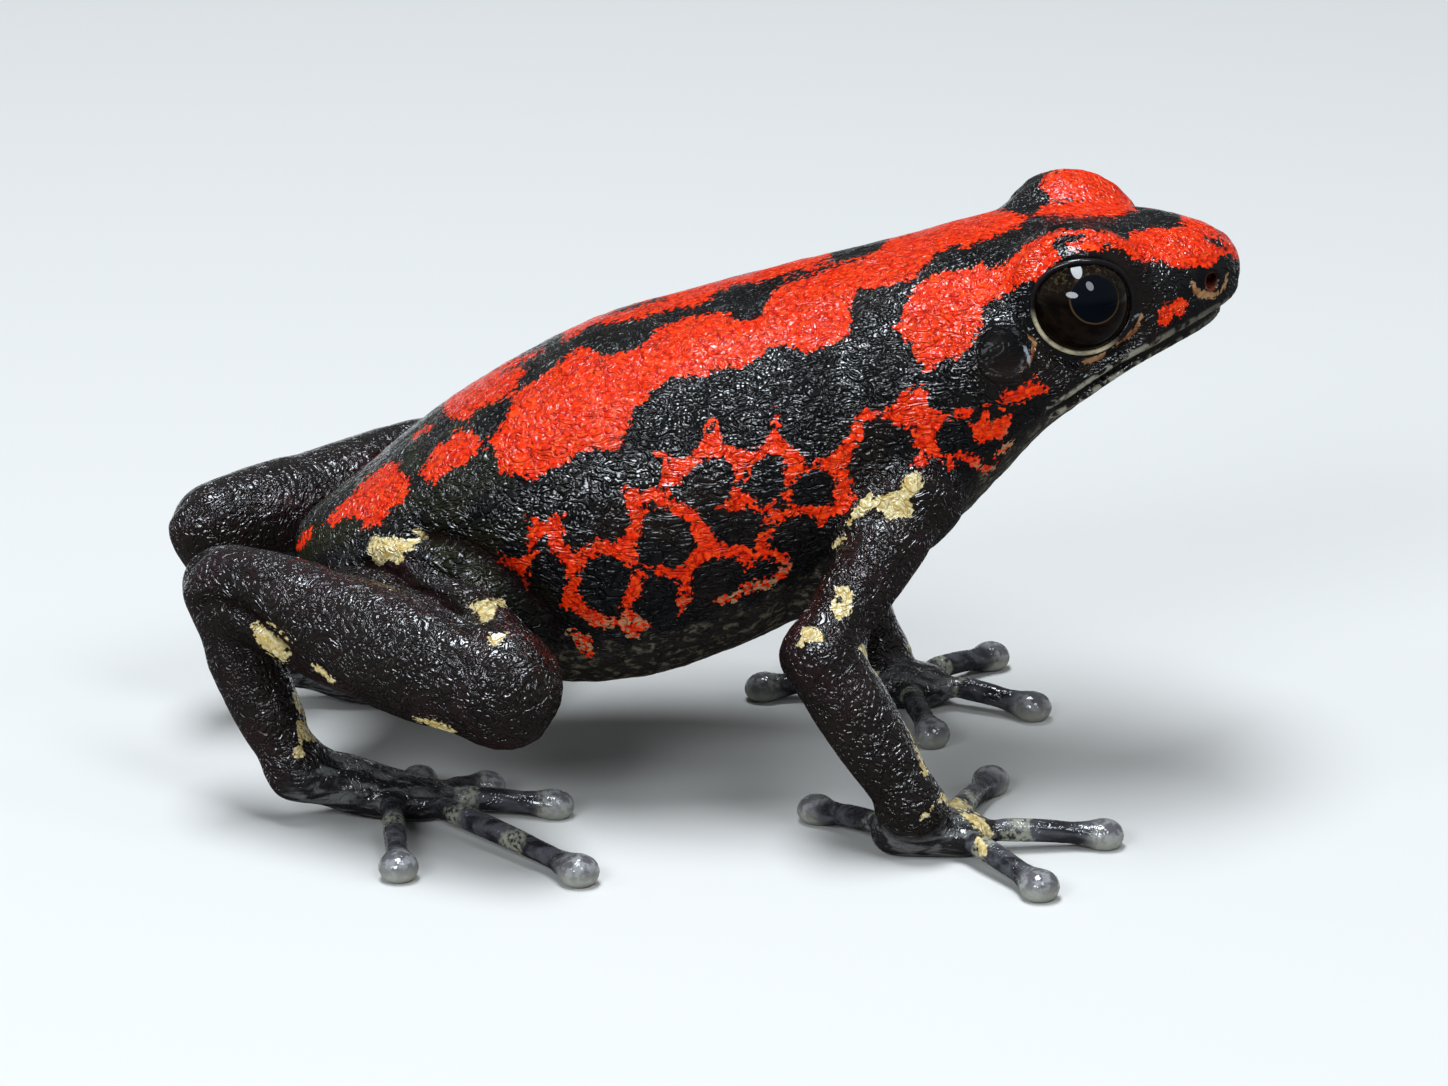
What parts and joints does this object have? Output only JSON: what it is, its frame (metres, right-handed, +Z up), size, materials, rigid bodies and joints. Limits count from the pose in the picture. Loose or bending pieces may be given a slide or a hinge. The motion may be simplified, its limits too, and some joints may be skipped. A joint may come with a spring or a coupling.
{
  "type": "poison frog figure",
  "caption": "Life-size still model of a small red and black poison frog, standing on all four feet with its head raised.",
  "frame": {"origin": "on the floor under the middle of the whole frog", "axes": "+X the way the frog faces, +Y its left side, +Z up"},
  "size_m": [0.0242, 0.019, 0.013],
  "materials": {
    "spotted_skin": "wet red and black skin with fine grain",
    "black_skin": "wet wrinkled black skin with cream patches",
    "grey_skin": "wet grey-black skin with cream bands and pale discs",
    "eye": "clear glossy cornea over a dark iris"
  },
  "bodies": {
    "root": {"eye_left": "eye", "eye_right": "eye", "finger_left_1": "grey_skin", "finger_left_2": "grey_skin", "finger_left_3": "grey_skin", "finger_left_4": "grey_skin", "finger_right_1": "grey_skin", "finger_right_2": "grey_skin", "finger_right_3": "grey_skin", "finger_right_4": "grey_skin", "foot_left": "grey_skin", "foot_right": "grey_skin", "forearm_left": "black_skin", "forearm_right": "black_skin", "hand_left": "grey_skin", "hand_right": "grey_skin", "head": "spotted_skin", "lower_jaw": "black_skin", "shank_left": "black_skin", "shank_right": "black_skin", "tarsus_left": "black_skin", "tarsus_right": "black_skin", "thigh_left": "black_skin", "thigh_right": "black_skin", "toe_left_1": "grey_skin", "toe_left_2": "grey_skin", "toe_left_3": "grey_skin", "toe_left_4": "grey_skin", "toe_left_5": "grey_skin", "toe_right_1": "grey_skin", "toe_right_2": "grey_skin", "toe_right_3": "grey_skin", "toe_right_4": "grey_skin", "toe_right_5": "grey_skin", "trunk": "spotted_skin", "upper_arm_left": "black_skin", "upper_arm_right": "black_skin"}
  },
  "joints": []
}
